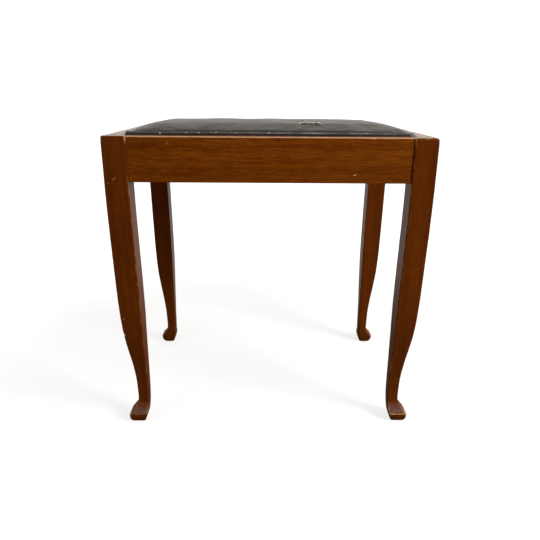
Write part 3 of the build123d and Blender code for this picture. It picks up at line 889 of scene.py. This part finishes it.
# Painted highlight: a pale grey line above the edge, broken by noise and stronger on the right, where the key
# lamp stands
rubbed = calc(tree, "MULTIPLY", edge, ramp(tree, noise(tree, place, (30, 30, 30), 3.0), 0.25, 0.55))
rubbed = calc(tree, "MULTIPLY", rubbed, line(tree, on_right, 0.6, 0.3))
colour = mixed(tree, rubbed, colour, painted_edge_highlight)
flakes = ramp(tree, noise(tree, place, (420, 420, 420), 1.0), 0.63, 0.69)
flakes = calc(tree, "MULTIPLY", flakes, calc(tree, "MULTIPLY", on_front, ramp(tree, edge, 0.4, 0.9)))
for centre in ((-0.0822, -0.1467, 0.4967), (-0.1673, -0.1496, 0.4945)):
    sizes = {"Centre": centre, "Along": (0.7, 0.0, 0.7), "Length": 0.0014, "Width": 0.0009}
    flakes = calc(tree, "MAXIMUM", flakes, use_group(tree, bare_mark, {"Place": place, **sizes})["Mask"])
join(tree, mixed(tree, flakes, colour, coating_flaked), shader["Base Color"])
join(tree, line(tree, calc(tree, "MULTIPLY", mottle, worn), 0.10, 0.40), shader["Roughness"])
join(tree, raised(tree, line(tree, creases, 0.5, pebbles), 0.30, 0.0003), shader["Normal"])
shader["Specular IOR Level"].default_value = 0.45

cotton_dark = (0.74, 0.65, 0.46, 1)
cotton_light = (0.95, 0.89, 0.74, 1)
backing, tree, shader, place = new_material("cotton_backing")
thread = {"Vector": place, "Scale": 700.0}
threads = [put(tree, "TexWave", thread, bands_direction=way).outputs["Fac"] for way in "XY"]
fluff = noise(tree, place, (500, 500, 500), 3.0)
weave = line(tree, calc(tree, "MULTIPLY", *threads), 0.35, line(tree, fluff, 0.65, 0.0))
join(tree, mixed(tree, weave, cotton_dark, cotton_light), shader["Base Color"])
join(tree, line(tree, fluff, 0.1, 0.85), shader["Roughness"])
join(tree, raised(tree, weave, 0.5, 0.0003), shader["Normal"])
shader["Specular IOR Level"].default_value = 0.1

cover.data.materials.append(leathercloth)
cover.data.materials.append(backing)
thickness = cover.modifiers.new("cloth_thickness", "SOLIDIFY")
thickness.thickness = cover_thickness
thickness.offset = -1
thickness.material_offset = 1
thickness.material_offset_rim = 1
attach(cover, "seat")
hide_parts("seat_cover")

# Cover tacks
# Domed tacks of blued steel, freckled with rust, driven up through the turned-under border of the cover
# into the board.
tack_blue = (0.055, 0.058, 0.068, 1)
tack_rust = (0.13, 0.055, 0.022, 1)
tack_steel, tree, shader, place = new_material("blued_tack_steel")
rust = ramp(tree, noise(tree, place, (380, 380, 380), 3.0, 0.6), 0.55, 0.70)
join(tree, mixed(tree, rust, tack_blue, tack_rust), shader["Base Color"])
join(tree, line(tree, rust, -0.8, 0.9), shader["Metallic"])
join(tree, line(tree, rust, 0.4, 0.35), shader["Roughness"])
finish_node("cover_tacks", tack_steel)

# Floor, light and camera
# A white floor that keeps only a faint shadow, a bright room behind the stool, soft lamps to the right
# and left, and the camera just over seat height, looking down a little.
floor_half = 40.0
warm_white = (1, 0.96, 0.90, 1)
corners = np.array([(-1, -1, 0), (1, -1, 0), (1, 1, 0), (-1, 1, 0)]) * floor_half
floor = make_piece("floor", corners, [[0, 1, 2, 3]])
floor_paint = bpy.data.materials.new("floor_paint")
floor_paint.use_nodes = True
tree = floor_paint.node_tree
tree.nodes.clear()
place = put(tree, "TexCoord").outputs["Object"]
away = ramp(tree, vector(tree, "LENGTH", place)["Value"], 0.45, 1.1)
glow = put(tree, "Emission", {"Color": (1, 1, 1, 1), "Strength": line(tree, away, 0.30, 0.74)})
pale = put(tree, "BsdfDiffuse", {"Color": (0.40, 0.40, 0.40, 1)})
seen = put(tree, "AddShader", {0: glow.outputs[0], 1: pale.outputs[0]})
lit_back = ramp(tree, put(tree, "SeparateXYZ", {0: place}).outputs["Y"], 0.0, 0.9)
lit_back = calc(tree, "MULTIPLY", lit_back, 0.45)
back_glow = put(tree, "Emission", {"Color": warm_white, "Strength": lit_back})
bounce = put(tree, "BsdfDiffuse", {"Color": (0.14, 0.13, 0.12, 1)})
unseen = put(tree, "AddShader", {0: back_glow.outputs[0], 1: bounce.outputs[0]})
ray = put(tree, "LightPath").outputs["Is Camera Ray"]
either = put(tree, "MixShader", {0: ray, 1: unseen.outputs[0], 2: seen.outputs[0]})
join(tree, either.outputs[0], put(tree, "OutputMaterial").inputs["Surface"])
floor.data.materials.append(floor_paint)

world = bpy.data.worlds.new("room")
world.use_nodes = True
tree = world.node_tree
tree.nodes.clear()
way = put(tree, "SeparateXYZ", {0: put(tree, "TexCoord").outputs["Generated"]}).outputs
back = calc(tree, "MULTIPLY", ramp(tree, way["Y"], 0.1, 0.8), ramp(tree, way["Z"], 0.46, 0.16))
room = line(tree, back, 2.0, line(tree, ramp(tree, way["Z"], 0.2, 0.9), 0.30, 0.06))
room = line(tree, ramp(tree, way["X"], 0.0, 0.9), 0.28, room)
ray = put(tree, "LightPath").outputs["Is Camera Ray"]
strength = put(tree, "Mix", {0: ray, 2: room, 3: 1.05}).outputs[0]
tint = mixed(tree, ray, warm_white, (1, 1, 1, 1))
light = put(tree, "Background", {"Color": tint, "Strength": strength})
join(tree, light.outputs[0], put(tree, "OutputWorld").inputs["Surface"])
bpy.context.scene.world = world


def turned(right, up, back, place):
    """Matrix of an object with these axes at a place."""
    axes = np.eye(4)
    axes[:3] = np.stack([right, up, back, place], axis=1)
    return Matrix(axes)


def add_lamp(name, place, aim, size, power):
    """Square soft lamp at a place, turned to face its aim."""
    lamp = bpy.data.lights.new(name, "AREA")
    lamp.size = size
    lamp.energy = power
    forward = np.subtract(aim, place)
    forward /= np.linalg.norm(forward)
    right = np.cross(forward, (0, 0, 1))
    right /= np.linalg.norm(right)
    made = bpy.data.objects.new(name, lamp)
    made.matrix_world = turned(right, np.cross(right, forward), -forward, place)
    bpy.context.scene.collection.objects.link(made)


add_lamp("key_lamp", place=(1.7, -1.1, 1.2), aim=(0, 0, 0.35), size=0.8, power=40)
add_lamp("fill_lamp", place=(-1.9, -1.6, 1.2), aim=(0, 0, 0.3), size=1.6, power=10)

eye = (-0.0128, -0.9664, 0.5511)
pitch, yaw, roll = 0.3242, 0.0165, -0.0082  # radians: down, to the right, and tilt of the horizon
camera = bpy.data.cameras.new("camera")
camera.lens = 34.83
camera.sensor_width = 36.0
camera.clip_start = 0.05
forward = np.array([math.sin(yaw) * math.cos(pitch), math.cos(yaw) * math.cos(pitch), -math.sin(pitch)])
level_right = np.array([math.cos(yaw), -math.sin(yaw), 0])
level_down = np.cross(forward, level_right)
right = math.cos(roll) * level_right + math.sin(roll) * level_down
down = math.cos(roll) * level_down - math.sin(roll) * level_right
viewer = bpy.data.objects.new("viewer", camera)
viewer.matrix_world = turned(right, -down, -forward, eye)
bpy.context.scene.collection.objects.link(viewer)
bpy.context.scene.camera = viewer
bpy.context.scene.view_settings.view_transform = "Standard"
